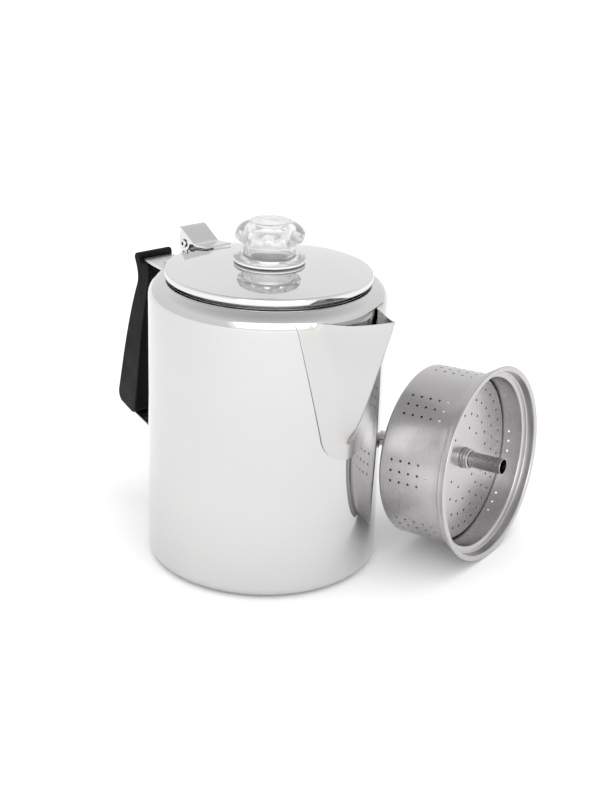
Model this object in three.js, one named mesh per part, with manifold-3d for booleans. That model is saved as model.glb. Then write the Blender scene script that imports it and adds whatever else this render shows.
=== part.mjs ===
// Camping coffee percolator: a lidded pot with its brew set (pump, basket, spreader) lying beside it.
// Units are millimetres, +Z is up, the spout points along +X and the handle along -X.
// The origin is the centre of the pot's base, on the table.

import * as THREE from "three";
import { ConvexGeometry } from "three/addons/geometries/ConvexGeometry.js";
import { mergeGeometries, mergeVertices } from "three/addons/utils/BufferGeometryUtils.js";
import Module from "manifold-3d";

const wasm = await Module();
wasm.setup();

// ---------------------------------------------------------------- driving sizes

const gap = 0.3;
const sheet = 0.8;

const potRadius = 65;
const cornerRadius = 7;
const shoulderRadius = 9.5;
const potHeight = 161;
const mouthRadius = 54.6;

const lidRadius = 56.4;
const lidEdgeZ = 166.3;
const lidCrownZ = 171;
const knobHoleRadius = 13.2;

const knobFlangeRadius = 19.4;
const knobCrownRadius = 18.7;
const knobNeckRadius = 14;
const knobTopZ = 193.4;
const flutes = 12;

const pinX = -63.5;
const pinZ = 167.4;
const pinRadius = 1.75;

const gripHalfWidth = 12;
const strapThickness = 1.6;

const spoutTipX = 95.7;
const spoutTipZ = 161.5;

const tubeRadius = 4.5;
const tubeLength = 177.5;
const tubeProud = 6.5;
const bellRadius = 47.5;

const rimRadius = 56.4;
const basketRadius = 49.7;
const basketDepth = 45.5;
const shelfDepth = 6.1;
const spreaderDepth = 18.5;
const spreaderRadius = 48.2;
const basketHoleRadius = 0.75;

// The brew set rests on the basket's rim and the bell's rim, so its tube slopes a little.
const tableClearance = 0.5;
const rimToBell = tubeLength - tubeProud;
const brewTilt = Math.atan((rimRadius - bellRadius) / rimToBell);
const brewHeading = THREE.MathUtils.degToRad(12.7);
const rimCentre = new THREE.Vector3(89.1, 94, rimRadius * Math.cos(brewTilt) + tableClearance);

// ---------------------------------------------------------------- shape helpers

// Turns a closed [radius, height] outline about +Z.
function turned(outline, segments = 48) {
  const points = outline.map(([radius, height]) => new THREE.Vector2(radius, height));
  if (THREE.ShapeUtils.area(points) < 0) {
    points.reverse();
  }
  if (points[0].x > 0 || points[points.length - 1].x > 0) {
    points.push(points[0].clone());
  }
  return new THREE.LatheGeometry(points, segments).rotateX(Math.PI / 2);
}

// Points of an arc in [radius, height] space, angles in degrees.
function arc(centreR, centreZ, radius, fromDeg, toDeg, steps) {
  return Array.from({ length: steps + 1 }, (_, i) => {
    const angle = THREE.MathUtils.degToRad(fromDeg + ((toDeg - fromDeg) * i) / steps);
    return [centreR + radius * Math.cos(angle), centreZ + radius * Math.sin(angle)];
  });
}

// A flat outline in X-Z, given thickness along Y and centred on y = 0.
function plateAcrossY(shape, width, curveSegments = 6) {
  const geometry = new THREE.ExtrudeGeometry(shape, { depth: width, bevelEnabled: false, curveSegments });
  return geometry.translate(0, 0, -width / 2).rotateX(Math.PI / 2);
}

// A bent strip: the centre line's points offset by half the thickness to both sides.
function stripShape(line, thickness) {
  const points = line.map(([x, z]) => new THREE.Vector2(x, z));
  const normals = points.map((point, i) => {
    const before = points[Math.max(i - 1, 0)];
    const after = points[Math.min(i + 1, points.length - 1)];
    const along = after.clone().sub(before).normalize();
    return new THREE.Vector2(-along.y, along.x);
  });
  const side = (sign) => points.map((p, i) => p.clone().addScaledVector(normals[i], (sign * thickness) / 2));
  return new THREE.Shape([...side(1), ...side(-1).reverse()]);
}

function box(sizeX, sizeY, sizeZ, x, y, z) {
  return new THREE.BoxGeometry(sizeX, sizeY, sizeZ).translate(x, y, z);
}

// A round peg along +Z.
function peg(radius, length, sides, x = 0, y = 0, z = 0) {
  return new THREE.CylinderGeometry(radius, radius, length, sides).rotateX(Math.PI / 2).translate(x, y, z);
}

function solid(geometry) {
  const bare = geometry.clone();
  bare.deleteAttribute("normal");
  bare.deleteAttribute("uv");
  const merged = mergeVertices(bare, 1e-4);
  return new wasm.Manifold(
    new wasm.Mesh({
      numProp: 3,
      vertProperties: new Float32Array(merged.attributes.position.array),
      triVerts: new Uint32Array(merged.index.array),
    }),
  );
}

function surface(manifold) {
  const { vertProperties, triVerts } = manifold.getMesh();
  const geometry = new THREE.BufferGeometry();
  geometry.setAttribute("position", new THREE.BufferAttribute(new Float32Array(vertProperties), 3));
  geometry.setIndex(new THREE.BufferAttribute(new Uint32Array(triVerts), 1));
  const flat = geometry.toNonIndexed();
  flat.computeVertexNormals();
  return flat;
}

function cut(body, ...tools) {
  return surface(tools.reduce((left, tool) => left.subtract(solid(tool)), solid(body)));
}

// ---------------------------------------------------------------- materials

const steel = (roughness) => new THREE.MeshStandardMaterial({ color: 0xc9cacc, roughness, metalness: 1 });
const polished = () => steel(0.08);
const satin = () => steel(0.35);
const blackPlastic = () => new THREE.MeshStandardMaterial({ color: 0x0b0b0c, roughness: 0.5, metalness: 0 });
const clearPlastic = () =>
  new THREE.MeshStandardMaterial({ color: 0xf4f6f7, roughness: 0.05, metalness: 0, transparent: true, opacity: 0.35 });
const silicone = () => new THREE.MeshStandardMaterial({ color: 0xdfe0df, roughness: 0.6, metalness: 0 });

function piece(name, geometry, material) {
  const mesh = new THREE.Mesh(geometry, material);
  mesh.name = name;
  return mesh;
}

// ---------------------------------------------------------------- pot

// The pot's outside, moved outwards by `offset`, from the base up to the mouth.
function potOutside(offset, cornerSteps = 4) {
  return [
    [0, -offset],
    ...arc(potRadius - cornerRadius, cornerRadius, cornerRadius + offset, -90, 0, cornerSteps),
    ...arc(
      potRadius - shoulderRadius, potHeight - shoulderRadius, shoulderRadius + offset, 0, 90, cornerSteps + 1,
    ),
  ];
}

function potBody() {
  const shoulderInner = potRadius - shoulderRadius;
  const lipRadius = shoulderInner - mouthRadius;
  const inside = potOutside(-sheet).slice(1).reverse();
  const shell = turned([
    ...potOutside(0),
    ...arc(shoulderInner, potHeight - lipRadius, lipRadius, 90, 180, 2).slice(1),
    [mouthRadius, potHeight - 4],
    [mouthRadius + sheet, potHeight - 4],
    [mouthRadius + sheet, potHeight - sheet - 0.4],
    ...inside,
    [0, sheet],
  ], 56);
  return cut(shell, strainerHoles());
}

// Rows of holes behind the spout, inside the width of its fold at each height.
function strainerHoles() {
  const pitch = THREE.MathUtils.degToRad(5);
  const holes = [1, 2, 3, 4, 5, 4].flatMap((count, row) =>
    Array.from({ length: count }, (_, i) =>
      peg(2, 4, 7)
        .rotateY(Math.PI / 2)
        .translate(potRadius, 0, 106 + row * 7.6)
        .rotateZ((i - (count - 1) / 2) * pitch)));
  return mergeGeometries(holes);
}

// ---------------------------------------------------------------- spout

// The wedge between the pot and the spout's keel; `inset` moves its faces inwards.
function spoutWedge(inset) {
  const keel = [[100.3, 172], [spoutTipX, spoutTipZ], [81.4, 119], [75.2, 102], [71.8, 95.5], [67.5, 89.5], [63, 86]];
  const roots = [[25.6, 172], [21.6, 157], [11.6, 110], [8.6, 97], [4, 90]];
  const keelRadius = 1.8;
  const points = [];
  for (const [x, z] of keel) {
    for (const angle of [-55, 0, 55]) {
      const turn = THREE.MathUtils.degToRad(angle);
      const across = keelRadius * Math.sin(turn);
      points.push(new THREE.Vector3(x - inset - keelRadius * (1 - Math.cos(turn)), across, z + inset * 0.4));
    }
  }
  for (const [y, z] of roots) {
    const x = Math.sqrt(potRadius ** 2 - y ** 2) - 1.5;
    const halfWidth = Math.max(y - inset, 0.2);
    for (const side of [-1, 1]) {
      points.push(new THREE.Vector3(x, side * halfWidth, z + inset * 0.4));
    }
  }
  return new ConvexGeometry(points);
}

// The tongue of sheet that is welded flat on the pot around the spout.
function spoutTongue() {
  const endRadius = 17;
  const endZ = 94.2;
  const topZ = 156;
  const topHalf = 32;
  const outline = new THREE.Shape();
  const lean = THREE.MathUtils.degToRad(13.9);
  outline.moveTo(-topHalf, topZ);
  outline.absarc(0, endZ, endRadius, Math.PI + lean, 2 * Math.PI - lean, false);
  outline.lineTo(topHalf, topZ);
  const prism = new THREE.ExtrudeGeometry(outline, { depth: 40, bevelEnabled: false, curveSegments: 12 });
  return prism.rotateX(Math.PI / 2).rotateZ(Math.PI / 2).translate(40, 0, 0);
}

// Everything above the spout's top edge, which dips behind the tip.
function aboveSpout() {
  const edge = new THREE.Shape();
  edge.moveTo(40, 156);
  edge.lineTo(74, 156.6);
  edge.quadraticCurveTo(88, 157.4, spoutTipX + 1, spoutTipZ + 0.6);
  edge.lineTo(120, 170);
  edge.lineTo(120, 190);
  edge.lineTo(40, 190);
  return plateAcrossY(edge, 90, 5);
}

function spout() {
  const wedgeShell = solid(spoutWedge(0)).subtract(solid(spoutWedge(1.3)));
  const skin = solid(turned([...potOutside(gap + sheet), [0, potHeight + gap + sheet]]));
  const keepOut = solid(turned([...potOutside(gap), [0, potHeight + gap]]));
  const tongue = solid(spoutTongue()).intersect(skin).subtract(solid(spoutWedge(1.3)));
  const trimmed = wedgeShell.add(tongue).subtract(keepOut).subtract(solid(aboveSpout()));
  return surface(trimmed.decompose().sort((a, b) => b.volume() - a.volume())[0]);
}

// ---------------------------------------------------------------- handle

const upperArmZ = 149.4;
const upperArmEnd = -100.4;
const spineTopX = -98.6;
const spineBottom = [-114.6, 49.6];
const lowerArmFall = 0.3;
const lowerArmHalf = 8.6;

// The strap's upper arm seen from above: wide at the pot, narrow at the grip.
function upperArm() {
  const plan = new THREE.Shape();
  plan.moveTo(-60, -16);
  plan.lineTo(-60, 16);
  plan.lineTo(upperArmEnd, 9.6);
  plan.lineTo(upperArmEnd, -9.6);
  const arm = new THREE.ExtrudeGeometry(plan, { depth: strapThickness, bevelEnabled: false });
  return arm.translate(0, 0, upperArmZ - strapThickness / 2);
}

// A weld tab that hugs the pot wall below an arm.
function weldTab(halfWidth, lowZ, highZ) {
  const inner = potRadius + gap;
  const outer = inner + strapThickness;
  const ring = solid(turned([[inner, lowZ], [outer, lowZ], [outer, highZ], [inner, highZ]], 96));
  return ring.intersect(solid(box(30, halfWidth * 2, 40, -65, 0, (lowZ + highZ) / 2)));
}

// One strap: a flared upper arm, a spine inside the grip, and a lower arm that falls towards the pot.
function handleStrap() {
  const [bendX, bendZ] = spineBottom;
  const atPotZ = bendZ - lowerArmFall * (-60 - bendX);
  const spine = stripShape([[spineTopX, upperArmZ], [bendX, bendZ], [-60, atPotZ]], strapThickness);
  const clear = solid(peg(potRadius + gap, 220, 96, 0, 0, 100));
  const bent = solid(plateAcrossY(spine, lowerArmHalf * 2));
  const strap = solid(upperArm()).add(bent).subtract(clear);
  const lowTop = atPotZ + lowerArmFall * -5;
  return surface(strap.add(weldTab(15, 139, upperArmZ)).add(weldTab(lowerArmHalf, lowTop - 10, lowTop + 3)));
}

// The grip's side outline: a ledge under the strap, a hook behind it, and a chamfered foot.
function gripSide() {
  const side = new THREE.Shape();
  side.moveTo(-94.6, 148.2);
  side.lineTo(-101.2, 148.2);
  side.lineTo(-101.2, 151.4);
  side.quadraticCurveTo(-101.6, 153.3, -103.6, 153.3);
  side.quadraticCurveTo(-107, 153, -106.6, 149.6);
  side.quadraticCurveTo(-102.4, 141, -104, 135.4);
  side.quadraticCurveTo(-111.3, 118, -118.6, 87.3);
  side.lineTo(-124.2, 62);
  side.quadraticCurveTo(-124.8, 57, -121.4, 54.4);
  side.lineTo(-110.5, 50.4);
  side.quadraticCurveTo(-107.2, 50.4, -106.7, 54.5);
  side.lineTo(-99.8, 106.6);
  side.lineTo(-94.2, 133.5);
  side.quadraticCurveTo(-91.8, 141, -93.4, 147.2);
  return side;
}

function handleGrip() {
  const bevel = 0.9;
  const body = new THREE.ExtrudeGeometry(gripSide(), {
    depth: (gripHalfWidth - bevel) * 2,
    bevelThickness: bevel,
    bevelSize: bevel,
    bevelOffset: -bevel,
    bevelSegments: 2,
    curveSegments: 6,
  });
  body.translate(0, 0, bevel - gripHalfWidth).rotateX(Math.PI / 2);
  const [bendX, bendZ] = spineBottom;
  const lean = (bendX - spineTopX) / (upperArmZ - bendZ);
  const reach = 6;
  const slotLine = [[spineTopX - lean * reach, upperArmZ + reach], [bendX + lean * reach, bendZ - reach]];
  const slot = plateAcrossY(stripShape(slotLine, strapThickness + gap * 2), (lowerArmHalf + gap) * 2);
  return cut(body, slot);
}

// ---------------------------------------------------------------- hinge

// The pot's half of the hinge: a foot on the strap, a web leaning in over the shoulder, and an eye.
function hingeBracket() {
  const width = 14.4;
  const web = plateAcrossY(
    stripShape([[-84, 151.2], [-71.5, 151.2], [-69.4, 152.4], [-68.3, 155], [-66.4, 165.8]], 1.4),
    width,
  );
  const eye = peg(3.9, width, 24).rotateX(Math.PI / 2).translate(pinX, 0, pinZ);
  const bore = peg(pinRadius + 0.15, width + 2, 24).rotateX(Math.PI / 2).translate(pinX, 0, pinZ);
  return surface(solid(web).add(solid(eye)).subtract(solid(bore)));
}

// A hollow rivet with a flared head at each end.
function hingePin() {
  const half = 9.9;
  const head = 2.5;
  const bore = 0.95;
  return turned(
    [[bore, -half], [head, -half], [head, -half + 0.7], [pinRadius, -half + 0.8],
      [pinRadius, half - 0.8], [head, half - 0.7], [head, half], [bore, half]],
    24,
  ).rotateX(Math.PI / 2).translate(pinX, 0, pinZ);
}

// The lid's half: a flange on the lid, a sloping cover that ends in a thumb tab, and two ears.
function hingeLeaf() {
  const width = 17.4;
  const cover = plateAcrossY(
    stripShape([[-43, 169.2], [-53.6, 168.2], [-55.4, 169], [-66.2, 175.6], [-67.6, 175.9]], 0.9),
    width,
  );
  const ear = new THREE.Shape();
  ear.moveTo(-55.2, 168.8);
  ear.lineTo(-66.6, 175.6);
  ear.lineTo(-67.4, 170);
  ear.quadraticCurveTo(-68.2, 163.6, -64, 163);
  ear.quadraticCurveTo(-59.8, 163.2, -58.4, 167.9);
  const ears = solid(plateAcrossY(ear, width)).subtract(solid(plateAcrossY(ear, width - 1.8).scale(1.2, 1, 1.2)
    .translate(-62 * -0.2, 0, 169 * -0.2)));
  const bore = peg(pinRadius + 0.15, width + 4, 24).rotateX(Math.PI / 2).translate(pinX, 0, pinZ);
  return surface(solid(cover).add(ears).subtract(solid(bore)));
}

// ---------------------------------------------------------------- lid and knob

// The lid's domed top surface at a radius.
const lidTopZ = (radius) => lidCrownZ - (lidCrownZ - lidEdgeZ) * (radius / (lidRadius - 0.8)) ** 2;

function domed(fromRadius, toRadius, drop, steps) {
  return Array.from({ length: steps + 1 }, (_, i) => {
    const radius = fromRadius + ((toRadius - fromRadius) * i) / steps;
    return [radius, lidTopZ(radius) - drop];
  });
}

const hemZ = potHeight + 1.4;

function lid() {
  const shell = turned([
    ...domed(knobHoleRadius, lidRadius - 0.8, 0, 5),
    [lidRadius, lidEdgeZ - 0.7],
    [lidRadius, hemZ],
    [lidRadius - 2.2, hemZ],
    [lidRadius - 2.2, hemZ + sheet],
    [lidRadius - sheet, hemZ + sheet],
    ...domed(knobHoleRadius, lidRadius - sheet, sheet, 5).reverse(),
  ]);
  const notches = [0, 120, 240].map((angle) =>
    box(6, 8, 8, knobHoleRadius, 0, lidCrownZ).rotateZ(THREE.MathUtils.degToRad(angle)));
  return cut(shell, ...notches);
}

// The ring that centres the lid in the pot's mouth; the lid's hem is folded under its flange.
function lidSkirt() {
  const outer = 53.4;
  const flangeZ = hemZ + sheet + gap;
  const bottom = potHeight - 7;
  return turned([
    [outer, bottom],
    [outer, flangeZ],
    [lidRadius - sheet - gap, flangeZ],
    [lidRadius - sheet - gap, flangeZ + sheet],
    [outer - sheet, flangeZ + sheet],
    [outer - sheet, bottom],
  ]);
}

function knobGasket() {
  const low = 171.1;
  const high = 172.2;
  return turned([[knobNeckRadius + 0.3, low], [knobFlangeRadius - 0.3, low - 0.2],
    [knobFlangeRadius, low + 0.2], [knobFlangeRadius, high - 0.2],
    [knobFlangeRadius - 0.3, high], [knobNeckRadius + 0.3, high]]);
}

// A hollow clear knob: stub with bayonet lugs, flange, neck, fluted crown.
function knob() {
  const boreRadius = 11;
  const stubRadius = knobHoleRadius - gap;
  const flangeZ = 172.5;
  const body = turned([
    [boreRadius, 166.4],
    [stubRadius, 166.4],
    [stubRadius, flangeZ],
    [knobFlangeRadius, flangeZ],
    [knobFlangeRadius, flangeZ + 1.1],
    [knobNeckRadius + 1, flangeZ + 1.6],
    [knobNeckRadius, flangeZ + 2.6],
    [knobNeckRadius, 179.4],
    [knobCrownRadius - 1.4, 182.6],
    [knobCrownRadius, 184.4],
    [knobCrownRadius, 186.2],
    [knobCrownRadius - 3, 190],
    [11.8, knobTopZ - 0.9],
    [0, knobTopZ],
    [0, 189.8],
    [8, 188.6],
    [boreRadius, 185],
  ], 36);
  const grooves = Array.from({ length: flutes }, (_, i) =>
    peg(3.4, 24, 9, knobCrownRadius + 1.9, 0, 190).rotateZ(((i + 0.5) * 2 * Math.PI) / flutes));
  const crown = solid(cut(body, mergeGeometries(grooves)));
  const lugs = [60, 180, 300].map((angle) =>
    solid(box(3.4, 6.4, 1.6, knobHoleRadius + 0.4, 0, 167.4).rotateZ(THREE.MathUtils.degToRad(angle))));
  return surface(lugs.reduce((sum, lug) => sum.add(lug), crown));
}

// ---------------------------------------------------------------- brew set
// Each piece is drawn about its own tube axis: local +Z runs from the bell to the basket's rim,
// and local z = 0 is the plane of the basket's rim.

function pumpTube() {
  const top = tubeProud;
  const bottom = top - tubeLength + 3;
  const bore = tubeRadius - 0.5;
  return turned([[bore, bottom], [tubeRadius, bottom], [tubeRadius, top], [bore, top]], 32);
}

// A shallow bell that traps the boiling water; its neck is drawn up round the tube.
function pumpBell() {
  const rim = tubeProud - tubeLength;
  const neck = tubeRadius + 0.1;
  const shell = turned([
    [neck, rim + 24],
    [neck + sheet, rim + 24],
    [neck + sheet, rim + 15.5],
    [11, rim + 12.6],
    [28, rim + 9],
    [41, rim + 5.6],
    [bellRadius - 0.9, rim + 1.4],
    [bellRadius, rim + 0.9],
    [bellRadius, rim],
    [bellRadius - 1.4, rim],
    [40.4, rim + 4.7],
    [27.6, rim + 8.1],
    [10.6, rim + 11.7],
    [neck, rim + 14.4],
  ]);
  const ports = [45, 135, 225, 315].map((angle) =>
    peg(2.2, 20, 8, 36, 0, rim + 6).rotateZ(THREE.MathUtils.degToRad(angle)));
  return cut(shell, mergeGeometries(ports));
}

// A peg for a small hole through a level plate, `around` in degrees.
function platePeg(ringRadius, around, z) {
  return peg(basketHoleRadius, 4, 5, ringRadius, 0, z).rotateZ(THREE.MathUtils.degToRad(around));
}

// A full ring of small holes, the first at `phase` degrees.
function ringOfPegs(ringRadius, count, phase, z) {
  return Array.from({ length: count }, (_, i) => platePeg(ringRadius, phase + (i * 360) / count, z));
}

// Side holes: eight patches of three lines, five holes to a line.
function sidePegs() {
  const firstPatch = 7;
  const pegs = [];
  for (let patch = 0; patch < 8; patch += 1) {
    for (const line of [-1, 0, 1]) {
      for (let i = 0; i < 5; i += 1) {
        const around = THREE.MathUtils.degToRad(firstPatch + patch * 45 + line * 7.1);
        const height = -37.4 + i * 5.6;
        const hole = peg(basketHoleRadius, 4, 5).rotateY(Math.PI / 2);
        pegs.push(hole.translate(basketRadius, 0, height).rotateZ(around));
      }
    }
  }
  return pegs;
}

function basket() {
  const floor = -basketDepth;
  const stepRadius = 53.9;
  const hole = tubeRadius + gap + sheet + 0.1;
  const shell = turned([
    [hole, floor],
    [basketRadius - 2, floor],
    [basketRadius - 0.6, floor + 0.6],
    [basketRadius, floor + 2],
    [basketRadius, -shelfDepth - 0.8],
    [stepRadius, -shelfDepth + 0.4],
    [stepRadius, -1.6],
    [rimRadius, -1.2],
    [rimRadius, 0],
    [stepRadius - sheet, -0.2],
    [stepRadius - sheet, -shelfDepth + 1],
    [basketRadius - sheet, -shelfDepth - 0.2],
    [basketRadius - sheet, floor + 2.2],
    [basketRadius - 2.2, floor + sheet],
    [hole, floor + sheet],
  ]);
  const rings = [[38, 24, 0], [27, 18, 10], [16, 12, 0]];
  const floorPegs = rings.flatMap(([radius, count, phase]) => ringOfPegs(radius, count, phase, floor));
  return cut(shell, mergeGeometries([...sidePegs(), ...floorPegs]));
}

// A short sleeve round the tube, with a lip above the plate that it is pressed into.
function collar(plateTop, height, tail) {
  const bore = tubeRadius + gap;
  const wall = bore + sheet;
  return turned([
    [bore, plateTop - tail],
    [wall, plateTop - tail],
    [wall, plateTop + 0.1],
    [wall + 0.9, plateTop + 0.1],
    [wall + 0.9, plateTop + 0.8],
    [wall + 0.3, plateTop + 1.2],
    [wall + 0.1, plateTop + height],
    [bore, plateTop + height + 0.3],
  ], 32);
}

const basketCollar = () => collar(sheet - basketDepth, 6, 1.6);
const spreaderCollar = () => collar(-spreaderDepth, 4.4, 1.6);

function spreader() {
  const top = -spreaderDepth;
  const hole = tubeRadius + gap + sheet + 0.1;
  const plate = turned([
    [hole, top - sheet],
    [spreaderRadius - 1.6, top - sheet],
    [spreaderRadius - 0.8, top - 3],
    [spreaderRadius, top - 3],
    [spreaderRadius, top - 0.4],
    [spreaderRadius - 1.2, top],
    [hole, top],
  ]);
  const rings = [[41.7, 36, 7.7], [33.6, 28, 3.2], [25.5, 20, 13.2]];
  const holes = rings.flatMap(([radius, count, phase]) => ringOfPegs(radius, count, phase, top));
  const innerRadius = 17.3;
  const pairSpread = 17;
  for (const middle of [66.7, 156.7, 246.7, 336.7]) {
    holes.push(platePeg(innerRadius, middle - pairSpread, top), platePeg(innerRadius, middle + pairSpread, top));
  }
  return cut(plate, mergeGeometries(holes));
}

// ---------------------------------------------------------------- assembly

function brewSet() {
  const set = new THREE.Group();
  set.name = "brew_set";
  set.add(piece("pump_tube", pumpTube(), satin()));
  set.add(piece("pump_bell", pumpBell(), satin()));
  set.add(piece("basket", basket(), satin()));
  set.add(piece("basket_collar", basketCollar(), satin()));
  set.add(piece("spreader", spreader(), satin()));
  set.add(piece("spreader_collar", spreaderCollar(), satin()));
  const along = new THREE.Vector3(
    Math.cos(brewTilt) * Math.cos(brewHeading),
    Math.cos(brewTilt) * Math.sin(brewHeading),
    Math.sin(brewTilt),
  );
  set.quaternion.setFromUnitVectors(new THREE.Vector3(0, 0, 1), along);
  set.position.copy(rimCentre);
  return set;
}

function percolator() {
  const group = new THREE.Group();
  group.name = "coffee_percolator";
  group.add(piece("pot_body", potBody(), polished()));
  group.add(piece("spout", spout(), polished()));
  group.add(piece("handle_strap", handleStrap(), satin()));
  group.add(piece("handle_grip", handleGrip(), blackPlastic()));
  group.add(piece("hinge_bracket", hingeBracket(), polished()));
  group.add(piece("hinge_pin", hingePin(), polished()));
  group.add(piece("hinge_leaf", hingeLeaf(), polished()));
  group.add(piece("lid", lid(), polished()));
  group.add(piece("lid_skirt", lidSkirt(), satin()));
  group.add(piece("knob_gasket", knobGasket(), silicone()));
  group.add(piece("knob", knob(), clearPlastic()));
  group.add(brewSet());
  return group;
}

export default percolator();
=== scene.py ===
"""Looks of the coffee percolator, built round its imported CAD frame.

Blender works in metres here; outlines are written in millimetres and scaled by MM.
+Z is up, the spout points along +X and the handle along -X.
"""

import math

import bmesh
import bpy
from mathutils import Matrix, Vector


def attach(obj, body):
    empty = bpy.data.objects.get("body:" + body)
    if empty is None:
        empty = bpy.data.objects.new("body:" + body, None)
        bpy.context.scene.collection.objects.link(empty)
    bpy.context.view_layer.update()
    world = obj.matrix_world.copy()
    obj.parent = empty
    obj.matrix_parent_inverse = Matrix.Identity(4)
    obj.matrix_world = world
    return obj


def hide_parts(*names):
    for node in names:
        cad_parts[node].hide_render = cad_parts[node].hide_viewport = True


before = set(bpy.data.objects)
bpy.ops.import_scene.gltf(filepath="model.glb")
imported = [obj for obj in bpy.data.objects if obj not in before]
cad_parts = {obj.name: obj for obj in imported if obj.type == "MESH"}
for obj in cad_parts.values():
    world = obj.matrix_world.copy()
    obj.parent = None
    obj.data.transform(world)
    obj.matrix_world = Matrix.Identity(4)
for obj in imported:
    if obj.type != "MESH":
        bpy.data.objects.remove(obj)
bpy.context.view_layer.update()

MM = 0.001

# ---------------------------------------------------------------- driving sizes, in millimetres

GAP = 0.3
SHEET = 0.8

POT_RADIUS = 65.0
CORNER_RADIUS = 7.0
SHOULDER_RADIUS = 9.5
POT_HEIGHT = 161.0
MOUTH_RADIUS = 54.6

LID_RADIUS = 56.4
LID_CROWN_Z = 171.0
LID_FALL = 4.7
HEM_Z = POT_HEIGHT + 1.4
HEM_WIDTH = 2.2
SKIRT_RADIUS = 53.4
KNOB_HOLE_RADIUS = 13.2

KNOB_FLANGE_RADIUS = 19.4
KNOB_FLANGE_Z = 172.5
KNOB_CROWN_RADIUS = 18.7
KNOB_NECK_RADIUS = 14.0
KNOB_TOP_Z = 193.4
LUG_Z = 167.4
FLUTES = 12

PIN_X = -63.5
PIN_Z = 167.4
PIN_RADIUS = 1.75

GRIP_HALF_WIDTH = 12.0
UPPER_ARM_Z = 149.4
SPINE_TOP_X = -98.6
SPINE_BOTTOM = (-114.6, 49.6)
STRAP_THICKNESS = 1.6
LOWER_ARM_HALF = 8.6

TUBE_RADIUS = 4.5
TUBE_LENGTH = 177.5
TUBE_PROUD = 6.5
BELL_RADIUS = 47.5
RIM_RADIUS = 56.4
BASKET_RADIUS = 49.7
BASKET_DEPTH = 45.5
STEP_RADIUS = 53.9
SHELF_DEPTH = 6.1
SPREADER_DEPTH = 18.5
SPREADER_RADIUS = 48.2
BASKET_HOLE_RADIUS = 0.75

# ---------------------------------------------------------------- placing the brew set

BREW_TILT = math.atan((RIM_RADIUS - BELL_RADIUS) / (TUBE_LENGTH - TUBE_PROUD))
BREW_HEADING = math.radians(12.7)
TABLE_CLEARANCE = 0.5
RIM_CENTRE = Vector((89.1, 94.0, RIM_RADIUS * math.cos(BREW_TILT) + TABLE_CLEARANCE))


def brew_place():
    """The brew set's own frame: +Z from the bell to the basket's rim, z = 0 at the rim."""
    along = Vector((
        math.cos(BREW_TILT) * math.cos(BREW_HEADING),
        math.cos(BREW_TILT) * math.sin(BREW_HEADING),
        math.sin(BREW_TILT),
    ))
    turn = Vector((0, 0, 1)).rotation_difference(along).to_matrix().to_4x4()
    return Matrix.Translation(RIM_CENTRE * MM) @ turn


# ---------------------------------------------------------------- mesh helpers

def arc(centre_r, centre_z, radius, from_deg, to_deg, steps):
    points = []
    for i in range(steps + 1):
        angle = math.radians(from_deg + (to_deg - from_deg) * i / steps)
        points.append((centre_r + radius * math.cos(angle), centre_z + radius * math.sin(angle)))
    return points


def bend(start, control, end, steps=8):
    """Points of a quadratic curve, without its first point."""
    points = []
    for i in range(1, steps + 1):
        t = i / steps
        points.append(tuple(
            (1 - t) ** 2 * a + 2 * t * (1 - t) * c + t * t * b for a, c, b in zip(start, control, end)
        ))
    return points


def divided(start, end, steps):
    """Points from start to end in equal steps, both included."""
    return [tuple(a + (b - a) * i / steps for a, b in zip(start, end)) for i in range(steps + 1)]


def on_ring(radius, degrees, z):
    """A place at a radius and height, turned about Z."""
    return Matrix.Rotation(math.radians(degrees), 4, "Z") @ Matrix.Translation((radius, 0, z))


def new_object(name, bm, place=Matrix.Identity(4)):
    """A bmesh in millimetres becomes an object in metres; its place goes into its mesh."""
    bmesh.ops.remove_doubles(bm, verts=bm.verts, dist=1e-4)
    bmesh.ops.recalc_face_normals(bm, faces=bm.faces)
    bmesh.ops.scale(bm, vec=(MM, MM, MM), verts=bm.verts)
    mesh = bpy.data.meshes.new(name)
    bm.to_mesh(mesh)
    bm.free()
    mesh.transform(place)
    obj = bpy.data.objects.new(name, mesh)
    bpy.context.scene.collection.objects.link(obj)
    return obj


def turned(name, outline, segments=160, place=Matrix.Identity(4), radius_at=None):
    """Turns a closed (radius, height) outline about Z; radius_at can flute it by angle."""
    bm = bmesh.new()
    rings = []
    for radius, height in outline:
        if radius < 1e-6:
            rings.append([bm.verts.new((0, 0, height))])
            continue
        ring = []
        for i in range(segments):
            angle = 2 * math.pi * i / segments
            r = radius_at(radius, height, angle) if radius_at else radius
            ring.append(bm.verts.new((r * math.cos(angle), r * math.sin(angle), height)))
        rings.append(ring)
    for lower, upper in zip(rings, rings[1:] + rings[:1]):
        if len(lower) == 1 and len(upper) == 1:
            continue
        for i in range(segments):
            j = (i + 1) % segments
            below = [lower[i % len(lower)], lower[j % len(lower)]]
            above = [upper[j % len(upper)], upper[i % len(upper)]]
            bm.faces.new(list(dict.fromkeys(below + above)))
    return new_object(name, bm, place)


def plate(name, outline, width):
    """A flat outline in X-Z, given thickness along Y."""
    bm = bmesh.new()
    face = bm.faces.new([bm.verts.new((x, -width / 2, z)) for x, z in outline])
    grown = bmesh.ops.extrude_face_region(bm, geom=[face])
    moved = [item for item in grown["geom"] if isinstance(item, bmesh.types.BMVert)]
    bmesh.ops.translate(bm, vec=(0, width, 0), verts=moved)
    return new_object(name, bm)


def strip_outline(line, thickness):
    points = [Vector(p) for p in line]
    sides = ([], [])
    for i, point in enumerate(points):
        along = (points[min(i + 1, len(points) - 1)] - points[max(i - 1, 0)]).normalized()
        across = Vector((-along.y, along.x)) * thickness / 2
        sides[0].append(tuple(point + across))
        sides[1].append(tuple(point - across))
    return sides[0] + sides[1][::-1]


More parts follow.
